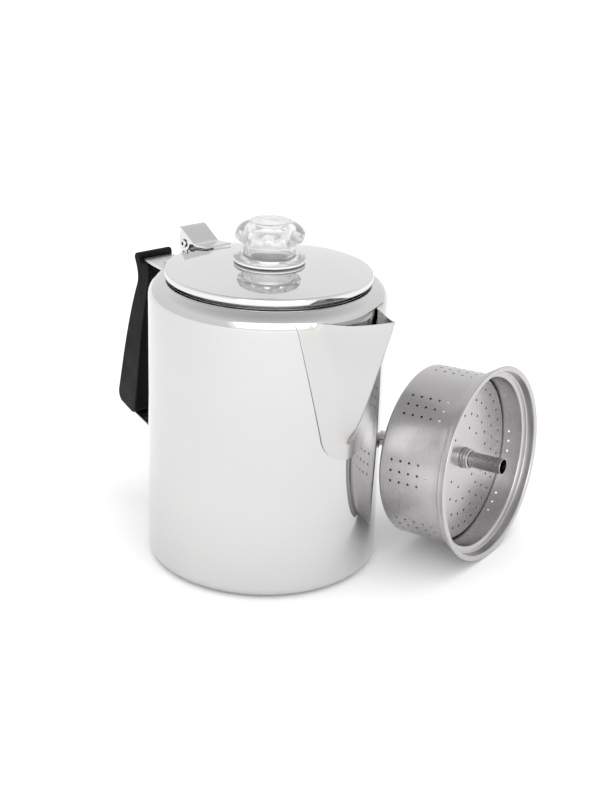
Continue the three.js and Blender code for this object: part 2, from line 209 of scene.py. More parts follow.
def pegs(name, places, radius, length, sides=14, place=Matrix.Identity(4)):
    """One object of many round pegs, each along its own Z."""
    bm = bmesh.new()
    for matrix in places:
        bmesh.ops.create_cone(
            bm, cap_ends=True, segments=sides, radius1=radius, radius2=radius, depth=length, matrix=matrix,
        )
    return new_object(name, bm, place)


def block(name, size, place):
    """A box of the given X, Y and Z size."""
    bm = bmesh.new()
    bmesh.ops.create_cube(bm, size=1, matrix=place @ Matrix.Diagonal((*size, 1)))
    return new_object(name, bm)


def apply_modifiers(obj):
    depsgraph = bpy.context.evaluated_depsgraph_get()
    mesh = bpy.data.meshes.new_from_object(obj.evaluated_get(depsgraph))
    obj.modifiers.clear()
    obj.data = mesh


def combine(obj, tool, operation):
    """A boolean, applied; the tool is used up."""
    modifier = obj.modifiers.new("combine", "BOOLEAN")
    modifier.object = tool
    modifier.operation = operation
    modifier.solver = "MANIFOLD"
    bpy.context.view_layer.update()
    apply_modifiers(obj)
    bpy.data.objects.remove(tool)


def soften(obj, width, segments=3, angle=35):
    """Rounds the sharp edges."""
    bevel = obj.modifiers.new("soften", "BEVEL")
    bevel.width = width * MM
    bevel.segments = segments
    bevel.limit_method = "ANGLE"
    bevel.angle_limit = math.radians(angle)
    bevel.harden_normals = True


def smooth(obj, angle=35):
    obj.data.shade_smooth()
    obj.data.set_sharp_from_angle(angle=math.radians(angle))


def finish_piece(obj, body, node, material, angle=35):
    smooth(obj, angle)
    obj.data.materials.clear()
    obj.data.materials.append(material)
    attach(obj, body)
    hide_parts(node)


# ---------------------------------------------------------------- materials

class Nodes:
    """A short way to write a material's node tree."""

    def __init__(self, name, place=None):
        self.material = bpy.data.materials.new(name)
        self.material.use_nodes = True
        self.tree = self.material.node_tree
        self.shader = self.tree.nodes["Principled BSDF"]
        self.coordinates = self.add("ShaderNodeTexCoord").outputs["Object"]
        if place:
            own = self.add("ShaderNodeMapping", vector_type="TEXTURE")
            own.inputs["Location"].default_value = place.to_translation()
            own.inputs["Rotation"].default_value = place.to_euler()
            self.link(self.coordinates, own.inputs["Vector"])
            self.coordinates = own.outputs["Vector"]

    def add(self, kind, **settings):
        node = self.tree.nodes.new(kind)
        for key, value in settings.items():
            setattr(node, key, value)
        return node

    def link(self, output, socket):
        self.tree.links.new(output, socket)

    def noise(self, scale, detail=3.0, vector=None):
        node = self.add("ShaderNodeTexNoise")
        node.inputs["Scale"].default_value = scale
        node.inputs["Detail"].default_value = detail
        self.link(vector or self.coordinates, node.inputs["Vector"])
        return node.outputs["Fac"]

    def spread(self, value, low, high):
        node = self.add("ShaderNodeMapRange")
        node.inputs["From Min"].default_value = 0.3
        node.inputs["From Max"].default_value = 0.7
        node.inputs["To Min"].default_value = low
        node.inputs["To Max"].default_value = high
        self.link(value, node.inputs["Value"])
        return node.outputs["Result"]

    def colour(self, value, low, high):
        node = self.add("ShaderNodeMix", data_type="RGBA")
        self.link(value, node.inputs["Factor"])
        node.inputs["A"].default_value = (*low, 1)
        node.inputs["B"].default_value = (*high, 1)
        return node.outputs["Result"]

    def bump(self, value, distance, strength=1.0):
        node = self.add("ShaderNodeBump")
        node.inputs["Distance"].default_value = distance
        node.inputs["Strength"].default_value = strength
        self.link(value, node.inputs["Height"])
        self.link(node.outputs["Normal"], self.shader.inputs["Normal"])

    def radius(self, split):
        """Distance from the piece's axis, of coordinates that are split into X, Y and Z."""
        flat = self.add("ShaderNodeCombineXYZ")
        self.link(split.outputs["X"], flat.inputs["X"])
        self.link(split.outputs["Y"], flat.inputs["Y"])
        length = self.add("ShaderNodeVectorMath", operation="LENGTH")
        self.link(flat.outputs[0], length.inputs[0])
        return length.outputs["Value"]

    def painted_bore_shade(self, bore, tone):
        """The tone, but nearly black closer to the axis than `bore` millimetres: painted shade for the deep
        inside of a tube.
        """
        split = self.add("ShaderNodeSeparateXYZ")
        self.link(self.coordinates, split.inputs[0])
        inside = self.add("ShaderNodeMath", operation="LESS_THAN")
        self.link(self.radius(split), inside.inputs[0])
        inside.inputs[1].default_value = bore * MM
        mix = self.add("ShaderNodeMix", data_type="RGBA")
        self.link(inside.outputs[0], mix.inputs["Factor"])
        self.link(tone, mix.inputs["A"])
        # the nearly black colour of the painted shade inside the bore
        mix.inputs["B"].default_value = (0.012, 0.011, 0.011, 1)
        return mix.outputs["Result"]

    def round_the_axis(self, stretch):
        """Coordinates that change with radius and height but little round the axis."""
        split = self.add("ShaderNodeSeparateXYZ")
        self.link(self.coordinates, split.inputs[0])
        around = self.add("ShaderNodeMath", operation="ARCTAN2")
        self.link(split.outputs["Y"], around.inputs[0])
        self.link(split.outputs["X"], around.inputs[1])
        slowed = self.add("ShaderNodeMath", operation="MULTIPLY")
        self.link(around.outputs[0], slowed.inputs[0])
        slowed.inputs[1].default_value = stretch
        joined = self.add("ShaderNodeCombineXYZ")
        self.link(self.radius(split), joined.inputs["X"])
        self.link(slowed.outputs[0], joined.inputs["Y"])
        self.link(split.outputs["Z"], joined.inputs["Z"])
        return joined.outputs[0]


def steel(name, dark, light, rough_low, rough_high, brush=0.0, patch_scale=18.0, place=None, bore=0.0):
    """Stainless sheet: cloudy tone, uneven polish and, if brushed, lines round the piece's axis.

    A bore is the radius within which the sheet's colour is painted nearly black, as painted shade deep
    inside the tube; its polish is unchanged.
    """
    brush_scale = 3200.0
    nodes = Nodes(name, place)
    nodes.shader.inputs["Metallic"].default_value = 1.0
    patches = nodes.noise(patch_scale)
    tone = nodes.colour(patches, dark, light)
    # painted shade: the colour within the bore is made nearly black where little light reaches
    if bore:
        tone = nodes.painted_bore_shade(bore, tone)
    nodes.link(tone, nodes.shader.inputs["Base Color"])
    lines = nodes.noise(brush_scale, 4.0, nodes.round_the_axis(0.002))
    rubbed = nodes.add("ShaderNodeMix", data_type="FLOAT")
    rubbed.inputs["Factor"].default_value = 0.5
    nodes.link(patches, rubbed.inputs["A"])
    nodes.link(lines, rubbed.inputs["B"])
    roughness = nodes.spread(rubbed.outputs["Result"], rough_low, rough_high)
    nodes.link(roughness, nodes.shader.inputs["Roughness"])
    if brush:
        nodes.bump(lines, brush)
    return nodes.material


def spout_steel():
    """Polished sheet with faint heat marks where the spout is welded."""
    nodes = Nodes("spout_polish")
    nodes.shader.inputs["Metallic"].default_value = 1.0
    patches = nodes.noise(22.0)
    base = nodes.colour(patches, (0.56, 0.56, 0.56), (0.61, 0.61, 0.605))
    welds = [(0.0672, 0.0, 0.0885), (0.0585, -0.026, 0.152), (0.0585, 0.026, 0.152)]
    for place in welds:
        offset = nodes.add("ShaderNodeVectorMath", operation="DISTANCE")
        offset.inputs[1].default_value = place
        nodes.link(nodes.coordinates, offset.inputs[0])
        fade = nodes.add("ShaderNodeMapRange")
        fade.inputs["From Max"].default_value = 0.009
        fade.inputs["To Min"].default_value = 0.55
        fade.inputs["To Max"].default_value = 0.0
        nodes.link(offset.outputs["Value"], fade.inputs["Value"])
        tint = nodes.add("ShaderNodeMix", data_type="RGBA")
        tint.inputs["B"].default_value = (0.60, 0.56, 0.49, 1)
        nodes.link(fade.outputs["Result"], tint.inputs["Factor"])
        nodes.link(base, tint.inputs["A"])
        base = tint.outputs["Result"]
    nodes.link(base, nodes.shader.inputs["Base Color"])
    nodes.link(nodes.spread(nodes.noise(60.0), 0.13, 0.2), nodes.shader.inputs["Roughness"])
    nodes.bump(nodes.noise(9.0, 1.0), 0.0004, 0.5)
    return nodes.material


def black_plastic():
    nodes = Nodes("black_moulding")
    nodes.link(
        nodes.colour(nodes.noise(35.0), (0.002, 0.002, 0.002), (0.004, 0.004, 0.004)),
        nodes.shader.inputs["Base Color"],
    )
    nodes.shader.inputs["Specular IOR Level"].default_value = 0.16
    nodes.link(nodes.spread(nodes.noise(90.0), 0.42, 0.58), nodes.shader.inputs["Roughness"])
    nodes.bump(nodes.noise(3500.0, 2.0), 0.00006, 0.5)
    return nodes.material


def clear_plastic():
    nodes = Nodes("clear_moulding")
    nodes.shader.inputs["Transmission Weight"].default_value = 0.84
    nodes.shader.inputs["IOR"].default_value = 1.47
    nodes.link(
        nodes.colour(nodes.noise(30.0), (0.96, 0.965, 0.965), (0.99, 0.99, 0.99)),
        nodes.shader.inputs["Base Color"],
    )
    nodes.link(nodes.spread(nodes.noise(120.0), 0.015, 0.05), nodes.shader.inputs["Roughness"])
    nodes.bump(nodes.noise(110.0, 2.0), 0.00012, 0.4)
    return nodes.material


def silicone():
    nodes = Nodes("pale_silicone")
    nodes.link(
        nodes.colour(nodes.noise(60.0), (0.86, 0.855, 0.85), (0.9, 0.895, 0.89)),
        nodes.shader.inputs["Base Color"],
    )
    nodes.shader.inputs["Subsurface Weight"].default_value = 0.2
    nodes.shader.inputs["Subsurface Scale"].default_value = 0.001
    nodes.link(nodes.spread(nodes.noise(200.0), 0.4, 0.55), nodes.shader.inputs["Roughness"])
    nodes.bump(nodes.noise(1800.0, 2.0), 0.00004, 0.4)
    return nodes.material


MIRROR = steel("mirror_polish", (0.60, 0.60, 0.60), (0.64, 0.64, 0.635), 0.05, 0.11)
LID_POLISH = steel("lid_polish", (0.70, 0.70, 0.70), (0.74, 0.74, 0.735), 0.05, 0.1, 0.0000003)
HINGE_POLISH = steel("hinge_polish", (0.66, 0.66, 0.66), (0.72, 0.72, 0.72), 0.1, 0.22, patch_scale=90.0)
STRAP_SATIN = steel("strap_satin", (0.60, 0.60, 0.60), (0.66, 0.66, 0.66), 0.2, 0.3, 0.0000015)
BREW_DARK = (0.525, 0.512, 0.514)
BREW_LIGHT = (0.555, 0.541, 0.544)
BREW_SATIN = steel("brew_satin", BREW_DARK, BREW_LIGHT, 0.26, 0.31, 0.0000005, place=brew_place())
# its bore is painted nearly black, as painted shade inside the tube
TUBE_SATIN = steel(
    "tube_satin", BREW_DARK, BREW_LIGHT, 0.24, 0.29, 0.0000005, place=brew_place(), bore=TUBE_RADIUS - 0.25,
)
SPOUT_POLISH = spout_steel()
BLACK = black_plastic()
CLEAR = clear_plastic()
RUBBER = silicone()


# ---------------------------------------------------------------- pot

def pot():
    shoulder_r = POT_RADIUS - SHOULDER_RADIUS
    shoulder_z = POT_HEIGHT - SHOULDER_RADIUS
    corner_r = POT_RADIUS - CORNER_RADIUS
    inner = POT_RADIUS - SHEET
    lip = shoulder_r - MOUTH_RADIUS
    outline = [(0, 0), (15, 0), (30, 0), (45, 0)]
    outline += arc(corner_r, CORNER_RADIUS, CORNER_RADIUS, -90, 0, 18)
    outline += divided((POT_RADIUS, CORNER_RADIUS), (POT_RADIUS, shoulder_z), 24)[1:-1]
    outline += arc(shoulder_r, shoulder_z, SHOULDER_RADIUS, 0, 90, 24)
    outline += arc(shoulder_r, POT_HEIGHT - lip, lip, 90, 180, 8)[1:]
    outline += [(MOUTH_RADIUS, POT_HEIGHT - 4), (MOUTH_RADIUS + SHEET, POT_HEIGHT - 4)]
    outline += [(MOUTH_RADIUS + SHEET, POT_HEIGHT - 1.3)]
    outline += arc(shoulder_r, shoulder_z, SHOULDER_RADIUS - SHEET, 90, 0, 16)
    outline += divided((inner, shoulder_z), (inner, CORNER_RADIUS), 16)[1:-1]
    outline += arc(corner_r, CORNER_RADIUS, CORNER_RADIUS - SHEET, 0, -90, 12)
    outline += [(30, SHEET), (0, SHEET)]
    body = turned("pot_shell", outline, 192)
    combine(body, pegs("strainer", strainer_places(), 2.0, 4.0, 24), "DIFFERENCE")
    finish_piece(body, "pot", "pot_body", MIRROR)


def strainer_places():
    """Rows of holes behind the spout, 5 degrees and 7.6 mm apart."""
    places = []
    for row, count in enumerate([1, 2, 3, 4, 5, 4]):
        for i in range(count):
            place = on_ring(POT_RADIUS, (i - (count - 1) / 2) * 5, 106 + row * 7.6)
            places.append(place @ Matrix.Rotation(math.pi / 2, 4, "Y"))
    return places


# ---------------------------------------------------------------- spout

KEEL = [(66.1, 87.6), (71.8, 95.5), (75.2, 102), (81.4, 119), (95.7, 161.5)]
ROOTS = [(3.0, 84.0), (5.2, 90.0), (8.6, 97.0), (11.6, 110.0), (15.4, 137.0), (21.6, 157.0), (24.0, 166.0)]
TONGUE_END_Z = 94.2
TONGUE_END_RADIUS = 17.0
TONGUE_TOP_Z = 156.0
TONGUE_TOP_HALF = 32.0
TONGUE_LEAN = math.radians(13.9)
FACE_SWELL = 1.8
SWELL_FROM_Z = 100.0


def along_table(table, z):
    """Value at height z on a smooth line through (value, z) points."""
    if z <= table[0][1]:
        return table[0][0]
    for (a, za), (b, zb) in zip(table, table[1:]):
        if z <= zb:
            return a + (b - a) * (z - za) / (zb - za)
    (a, za), (b, zb) = table[-2:]
    return b + (b - a) * (z - zb) / (zb - za)


def softly(table, z, reach=4.0):
    """The same line with its corners rounded over `reach` either way."""
    return sum(along_table(table, z + reach * (i / 3 - 1)) for i in range(7)) / 7


def tongue_half(z):
    tangent_z = TONGUE_END_Z - TONGUE_END_RADIUS * math.sin(TONGUE_LEAN)
    tangent_y = TONGUE_END_RADIUS * math.cos(TONGUE_LEAN)
    if z < tangent_z:
        return math.sqrt(max(TONGUE_END_RADIUS ** 2 - (z - TONGUE_END_Z) ** 2, 0.16))
    rise = (z - tangent_z) / (TONGUE_TOP_Z - tangent_z)
    return tangent_y + (TONGUE_TOP_HALF - tangent_y) * rise


def skin_radius(z):
    """Outside of the tongue at a height: it hugs the wall and then the shoulder."""
    offset = GAP + SHEET
    start = POT_HEIGHT - SHOULDER_RADIUS
    if z <= start:
        return POT_RADIUS + offset
    reach = SHOULDER_RADIUS + offset
    return POT_RADIUS - SHOULDER_RADIUS + math.sqrt(reach ** 2 - min(z - start, reach) ** 2)


def spout_edge_z(x):
    """The spout's top edge: nearly level by the pot, rising to the tip."""
    rise = max(x - 74.0, 0.0) / 21.7
    return 156.2 + 0.4 * min(max((x - 64) / 10, 0), 1) + 4.9 * rise ** 1.4


def spout_point(share, z):
    """share runs from 0 at the keel to 1 at the tongue's edge, and is negative on the other side."""
    radius = skin_radius(z)
    half = tongue_half(z)
    root_y = max(min(softly(ROOTS, z), 0.72 * half), 0.3 * half)
    root_turn = math.asin(min(root_y / radius, 1))
    edge_turn = math.asin(min(half / radius, 1))
    root = Vector((radius * math.cos(root_turn), radius * math.sin(root_turn)))
    keel = Vector((max(softly(KEEL, z, 2.0), radius), 0))
    face = root - keel
    fillet = min(3.5, 0.3 * face.length, 0.4 * (edge_turn - root_turn) * radius)
    nose = min(2.0, 0.25 * face.length)
    amount = abs(share) * 2

    swell = FACE_SWELL * min(max((z - SWELL_FROM_Z) / (TONGUE_TOP_Z - SWELL_FROM_Z), 0), 1)
    outward = Vector((face.y, -face.x)).normalized()

    def on_face(distance):
        share_along = distance / max(face.length, 1e-6)
        return keel + face * share_along + outward * swell * 4 * share_along * (1 - share_along)

    def on_wall(angle):
        return Vector((radius * math.cos(angle), radius * math.sin(angle)))

    blend_start, blend_end, nose_end = 0.86, 1.14, 0.1
    if amount < nose_end:
        t = 0.5 + 0.5 * amount / nose_end
        near = on_face(nose)
        far = Vector((near.x, -near.y))
        spot = far * (1 - t) ** 2 + keel * 2 * t * (1 - t) + near * t * t
    elif amount < blend_start:
        t = (amount - nose_end) / (blend_start - nose_end)
        spot = on_face(nose + (face.length - fillet - nose) * t)
    elif amount < blend_end:
        t = (amount - blend_start) / (blend_end - blend_start)
        start = on_face(face.length - fillet)
        end = on_wall(root_turn + fillet / radius)
        spot = start * (1 - t) ** 2 + root * 2 * t * (1 - t) + end * t * t
    else:
        t = (amount - blend_end) / (2 - blend_end)
        start_turn = root_turn + fillet / radius
        spot = on_wall(start_turn + (edge_turn - start_turn) * t)
    if spot.length < radius:
        spot = spot.normalized() * radius
    return Vector((spot.x, math.copysign(spot.y, share), z))


def spout():
    columns, rows = 120, 110
    foot_z = TONGUE_END_Z - TONGUE_END_RADIUS + 0.02
    bm = bmesh.new()
    grid = []
    for c in range(columns + 1):
        share = -1 + 2 * c / columns
        top_z = TONGUE_TOP_Z
        for _ in range(12):
            top_z = spout_edge_z(spout_point(share, top_z).x)
        column = []
        for r in range(rows + 1):
            v = r / rows
            eased = v ** 1.5
            column.append(bm.verts.new(spout_point(share, foot_z + (top_z - foot_z) * eased)))
        grid.append(column)
    for left, right in zip(grid, grid[1:]):
        for r in range(rows):
            bm.faces.new((left[r], right[r], right[r + 1], left[r + 1]))
    sheet = new_object("spout_sheet", bm)
    if sheet.data.polygons[len(sheet.data.polygons) // 2].normal.x < 0:
        sheet.data.flip_normals()
    solid = sheet.modifiers.new("thickness", "SOLIDIFY")
    solid.thickness = SHEET * MM
    solid.offset = -1
    solid.use_even_offset = False
    apply_modifiers(sheet)
    finish_piece(sheet, "pot", "spout", SPOUT_POLISH, 50)


# ---------------------------------------------------------------- handle

def grip():
    outline = [(-94.6, 148.2), (-101.2, 148.2), (-101.2, 151.4)]
    outline += bend((-101.2, 151.4), (-101.6, 153.3), (-103.6, 153.3))
    outline += bend((-103.6, 153.3), (-107, 153), (-106.6, 149.6))
    outline += bend((-106.6, 149.6), (-102.4, 141), (-104, 135.4), 12)
    outline += bend((-104, 135.4), (-111.3, 118), (-118.6, 87.3), 16)
    outline += [(-124.2, 62)]
    outline += bend((-124.2, 62), (-124.8, 57), (-121.4, 54.4))
    outline += [(-110.5, 50.4)]
    outline += bend((-110.5, 50.4), (-107.2, 50.4), (-106.7, 54.5))
    outline += [(-99.8, 106.6), (-94.2, 133.5)]
    outline += bend((-94.2, 133.5), (-91.8, 141), (-93.4, 147.2), 12)
    body = plate("grip_moulding", outline, GRIP_HALF_WIDTH * 2)
    soften(body, 2.2, 5)
    apply_modifiers(body)
    bend_x, bend_z = SPINE_BOTTOM
    lean = (bend_x - SPINE_TOP_X) / (UPPER_ARM_Z - bend_z)
    reach = 6.0
    line = [(SPINE_TOP_X - lean * reach, UPPER_ARM_Z + reach), (bend_x + lean * reach, bend_z - reach)]
    slot = plate("slot", strip_outline(line, STRAP_THICKNESS + GAP * 2), (LOWER_ARM_HALF + GAP) * 2)
    combine(body, slot, "DIFFERENCE")
    finish_piece(body, "pot", "handle_grip", BLACK, 40)


def dress_cad(node, material, edge):
    """A CAD node whose shape is right: softened edges and a finish of its own."""
    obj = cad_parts[node]
    obj.data.materials.clear()
    obj.data.materials.append(material)
    soften(obj, edge, 2)


# ---------------------------------------------------------------- hinge

def across_y(name, outline, segments):
    """A turned piece laid along Y through the hinge's axis."""
    place = Matrix.Translation(Vector((PIN_X, 0, PIN_Z)) * MM) @ Matrix.Rotation(math.pi / 2, 4, "X")
    return turned(name, outline, segments, place)


def pin():
    half, head, bore = 9.9, 2.5, 0.95
    outline = [(bore, -half + 0.15), (bore + 0.15, -half), (head - 0.35, -half)]
    outline += arc(head - 0.35, -half + 0.35, 0.35, -90, 0, 5)[1:]
    outline += [(head, -half + 0.7), (PIN_RADIUS, -half + 0.8), (PIN_RADIUS, half - 0.8), (head, half - 0.7)]
    outline += arc(head - 0.35, half - 0.35, 0.35, 0, 90, 5)
    outline += [(bore + 0.15, half), (bore, half - 0.15)]
    finish_piece(across_y("hinge_rivet", outline, 64), "pot", "hinge_pin", HINGE_POLISH)


def leaf():
    width = 17.4
    line = [(-43, 169.2), (-51.8, 168.4)]
    line += bend((-51.8, 168.4), (-53.9, 168.1), (-55.6, 169.1), 6)
    line += divided((-55.6, 169.1), (-65.2, 175.0), 4)[1:]
    line += bend((-65.2, 175.0), (-66.4, 175.7), (-67.6, 175.9), 5)
    cover = plate("leaf_cover", strip_outline(line, 0.9), width)
    ear = [(-55.2, 168.8), (-66.6, 175.6), (-67.4, 170)]
    ear += bend((-67.4, 170), (-68.2, 163.6), (-64, 163), 12)
    ear += bend((-64, 163), (-59.8, 163.2), (-58.4, 167.9), 10)
    ears = plate("leaf_ears", ear, width)
    grown = [(-62 + (x + 62) * 1.2, 169 + (z - 169) * 1.2) for x, z in ear]
    combine(ears, plate("leaf_hollow", grown, width - 1.8), "DIFFERENCE")
    combine(cover, ears, "UNION")
    lying = Matrix.Translation((PIN_X, 0, PIN_Z)) @ Matrix.Rotation(math.pi / 2, 4, "X")
    combine(cover, pegs("leaf_bore", [lying], PIN_RADIUS + 0.15, width + 4, 48), "DIFFERENCE")
    finish_piece(cover, "lid", "hinge_leaf", HINGE_POLISH, 30)
    soften(cover, 0.18, 2)


def bracket():
    width = 14.4
    line = [(-84, 151.2), (-73, 151.2)]
    line += bend((-73, 151.2), (-69.6, 151.2), (-68.6, 154), 8)
    line += divided((-68.6, 154), (-66.4, 165.8), 3)[1:]
    web = plate("bracket_web", strip_outline(line, 1.4), width)
    lying = Matrix.Translation((PIN_X, 0, PIN_Z)) @ Matrix.Rotation(math.pi / 2, 4, "X")
    combine(web, pegs("bracket_eye", [lying], 3.9, width, 64), "UNION")
    combine(web, pegs("bracket_bore", [lying], PIN_RADIUS + 0.15, width + 2, 48), "DIFFERENCE")
    finish_piece(web, "pot", "hinge_bracket", HINGE_POLISH, 30)
    soften(web, 0.2, 2)


# ---------------------------------------------------------------- lid and knob

def dome_z(radius):
    return LID_CROWN_Z - LID_FALL * (radius / (LID_RADIUS - 0.8)) ** 2


def dome(start, end, drop, steps):
    radii = [start + (end - start) * i / steps for i in range(steps + 1)]
    return [(r, dome_z(r) - drop) for r in radii]


def lid():
    roll = 1.3
    edge_z = dome_z(LID_RADIUS - roll) - roll
    fold = 0.8
    outline = dome(KNOB_HOLE_RADIUS, LID_RADIUS - roll, 0, 24)
    outline += arc(LID_RADIUS - roll, edge_z, roll, 84, 0, 8)
    outline += arc(LID_RADIUS - fold, HEM_Z + fold, fold, 0, -90, 6)
    outline += [(LID_RADIUS - HEM_WIDTH, HEM_Z), (LID_RADIUS - HEM_WIDTH, HEM_Z + SHEET)]
    outline += [(LID_RADIUS - SHEET, HEM_Z + SHEET)]
    outline += [(LID_RADIUS - SHEET, edge_z)]
    outline += dome(LID_RADIUS - SHEET - 0.8, KNOB_HOLE_RADIUS, SHEET, 16)
    cap = turned("lid_dome", outline, 192)
    for turn in (0, 120, 240):
        place = on_ring(KNOB_HOLE_RADIUS, turn, LID_CROWN_Z)
        combine(cap, block("notch", (6, 8, 8), place), "DIFFERENCE")
    finish_piece(cap, "lid", "lid", LID_POLISH)


def lid_skirt():
    flange_z = HEM_Z + SHEET + GAP
    bottom = POT_HEIGHT - 7
    outer = LID_RADIUS - SHEET - GAP
    inner = SKIRT_RADIUS - SHEET
    outline = arc(SKIRT_RADIUS - 0.35, bottom + 0.35, 0.35, -90, 0, 5)
    outline += [(SKIRT_RADIUS, flange_z), (outer, flange_z), (outer, flange_z + SHEET)]
    outline += [(inner, flange_z + SHEET), (inner, bottom + 0.35), (inner + 0.1, bottom)]
    finish_piece(turned("lid_ring", outline, 160), "lid", "lid_skirt", STRAP_SATIN)


def gasket():
    low, high, round_off = 171.1, 172.2, 0.45
    outline = [(KNOB_NECK_RADIUS + 0.3, low), (KNOB_FLANGE_RADIUS - round_off, low)]
    outline += arc(KNOB_FLANGE_RADIUS - round_off, low + round_off, round_off, -90, 0, 5)
    outline += arc(KNOB_FLANGE_RADIUS - round_off, high - round_off, round_off, 0, 90, 5)
    outline += [(KNOB_NECK_RADIUS + 0.3, high)]
    finish_piece(turned("gasket_ring", outline, 128), "lid", "knob_gasket", RUBBER)


def fluted(radius, height, angle):
    """Scallops round the crown: each is a round groove, blended softly into the crown."""
    if radius < 12 or height < 180.5:
        return radius
    groove_radius, groove_centre = 3.4, KNOB_CROWN_RADIUS + 1.9
    pitch = 2 * math.pi / FLUTES
    away = (angle % pitch) - pitch / 2
    sideways = groove_centre * math.sin(away)
    if abs(sideways) >= groove_radius:
        return radius
    floor = groove_centre * math.cos(away) - math.sqrt(groove_radius ** 2 - sideways ** 2)
    return min(radius, floor)


def knob():
    bore = 11.0
    crown = KNOB_CROWN_RADIUS
    neck = KNOB_NECK_RADIUS
    stub = KNOB_HOLE_RADIUS - GAP
    outline = [(bore, 166.4), (stub, 166.4), (stub, KNOB_FLANGE_Z)]
    outline += arc(KNOB_FLANGE_RADIUS - 0.5, KNOB_FLANGE_Z + 0.5, 0.5, -90, 60, 6)
    outline += bend((KNOB_FLANGE_RADIUS - 0.3, 173.6), (neck + 0.4, 173.8), (neck, 176), 10)
    outline += bend((neck, 179), (neck + 0.2, 182), (crown - 1.4, 182.6), 10)
    outline += bend(outline[-1], (crown, 182.9), (crown, 184.6), 6)
    outline += [(crown, 186.2)]
    outline += bend((crown, 186.2), (crown - 0.4, 188.6), (crown - 3, 190.3), 10)
    outline += bend(outline[-1], (13.6, 192.1), (11.6, 192.4), 8)
    outline += [(11.2, KNOB_TOP_Z - 0.5), (10.4, KNOB_TOP_Z - 0.15), (5, KNOB_TOP_Z), (0, KNOB_TOP_Z)]
    outline += [(0, 189.8)]
    outline += bend((0.01, 189.8), (7, 189.8), (9.4, 187.8), 10)[:-1]
    outline += bend((9.4, 187.8), (bore, 186.6), (bore, 184.4), 6)
    outline += divided((bore, 184.4), (bore, 166.4), 6)[1:-1]
    clear = turned("knob_moulding", outline, 240, radius_at=fluted)
    for turn in (60, 180, 300):
        place = on_ring(KNOB_HOLE_RADIUS + 0.4, turn, LUG_Z)
        combine(clear, block("lug", (3.4, 6.4, 1.6), place), "UNION")
    finish_piece(clear, "knob", "knob", CLEAR, 40)


# ---------------------------------------------------------------- brew set

def hole_ring(radius, count, phase, z):
    return [on_ring(radius, phase + 360 * i / count, z) for i in range(count)]


def side_holes():
    first_patch = 7
    places = []
    for patch in range(8):
        for line in (-1, 0, 1):
            for i in range(5):
                place = on_ring(BASKET_RADIUS, first_patch + patch * 45 + line * 7.1, -37.4 + i * 5.6)
                places.append(place @ Matrix.Rotation(math.pi / 2, 4, "Y"))
    return places


def tube(place):
    bore = TUBE_RADIUS - 0.5
    top = TUBE_PROUD
    bottom = top - TUBE_LENGTH + 3
    outline = [(bore, bottom), (TUBE_RADIUS, bottom)]
    outline += divided((TUBE_RADIUS, bottom), (TUBE_RADIUS, top - 0.2), 20)[1:]
    outline += [(TUBE_RADIUS - 0.15, top), (bore + 0.1, top), (bore, top - 0.15)]
    finish_piece(turned("riser_tube", outline, 96, place), "pump", "pump_tube", TUBE_SATIN)


def bell(place):
    rim = TUBE_PROUD - TUBE_LENGTH
    neck = TUBE_RADIUS + 0.1
    outline = [(neck, rim + 24), (neck + SHEET, rim + 24), (neck + SHEET, rim + 17)]
    outline += bend(outline[-1], (neck + SHEET + 0.3, rim + 13.7), (11, rim + 12.6), 8)
    outline += bend((11, rim + 12.6), (30, rim + 9.6), (41, rim + 5.6), 14)
    outline += bend((41, rim + 5.6), (46.6, rim + 3.2), (BELL_RADIUS - 0.4, rim + 1.2), 8)
    outline += [(BELL_RADIUS, rim + 0.9), (BELL_RADIUS, rim), (BELL_RADIUS - 1.4, rim)]
    outline += bend(outline[-1], (45.6, rim + 2.4), (40.4, rim + 4.7), 6)
    outline += bend((40.4, rim + 4.7), (29.5, rim + 8.7), (10.6, rim + 11.7), 12)
    outline += [(neck, rim + 14.4)]
    cover = turned("pump_cover", outline, 160, place)
    ports = [on_ring(36, turn, rim + 6) for turn in (45, 135, 225, 315)]
    combine(cover, pegs("bell_ports", ports, 2.2, 20, 24, place), "DIFFERENCE")
    finish_piece(cover, "pump", "pump_bell", BREW_SATIN)


def basket(place):
    floor = -BASKET_DEPTH
    shelf = -SHELF_DEPTH
    wall = BASKET_RADIUS
    step = STEP_RADIUS
    inner = STEP_RADIUS - SHEET
    hole = TUBE_RADIUS + GAP + SHEET + 0.1
    bead = 0.6
    outline = [(hole, floor), (20, floor), (35, floor)]
    outline += arc(wall - 2, floor + 2, 2, -90, 0, 10)
    outline += divided((wall, floor + 2), (wall, shelf - 1.2), 8)[1:]
    outline += bend(outline[-1], (wall + 0.1, shelf - 0.3), (wall + 1, shelf - 0.3), 4)
    outline += bend((step - 1, shelf + 0.2), (step, shelf + 0.3), (step, -4.8), 5)
    outline += bend((step, -2.2), (step, -1.2), (step + 1, -1.2), 4)
    outline += arc(RIM_RADIUS - bead, -bead, bead, -90, 90, 10)
    outline += bend((step, 0), (inner, -0.1), (inner, -1.2), 4)
    outline += bend((inner, -4.4), (inner, -5.3), (step - 1.7, -5.4), 4)
    outline += bend((wall + 0.4, -5.6), (wall - SHEET, -5.8), (wall - SHEET, -7), 5)
    outline += divided((wall - SHEET, -7), (wall - SHEET, floor + 2), 8)[1:]
    outline += arc(wall - 2, floor + 2, 2 - SHEET, 0, -90, 8)[1:]
    outline += [(35, floor + SHEET), (20, floor + SHEET), (hole, floor + SHEET)]
    cup = turned("basket_cup", outline, 192, place)
    combine(cup, pegs("side_holes", side_holes(), BASKET_HOLE_RADIUS, 4, place=place), "DIFFERENCE")
    floor_holes = []
    for radius, count, phase in ((38, 24, 0), (27, 18, 10), (16, 12, 0)):
        floor_holes += hole_ring(radius, count, phase, floor)
    combine(cup, pegs("floor_holes", floor_holes, BASKET_HOLE_RADIUS, 4, place=place), "DIFFERENCE")
    finish_piece(cup, "basket", "basket", BREW_SATIN)


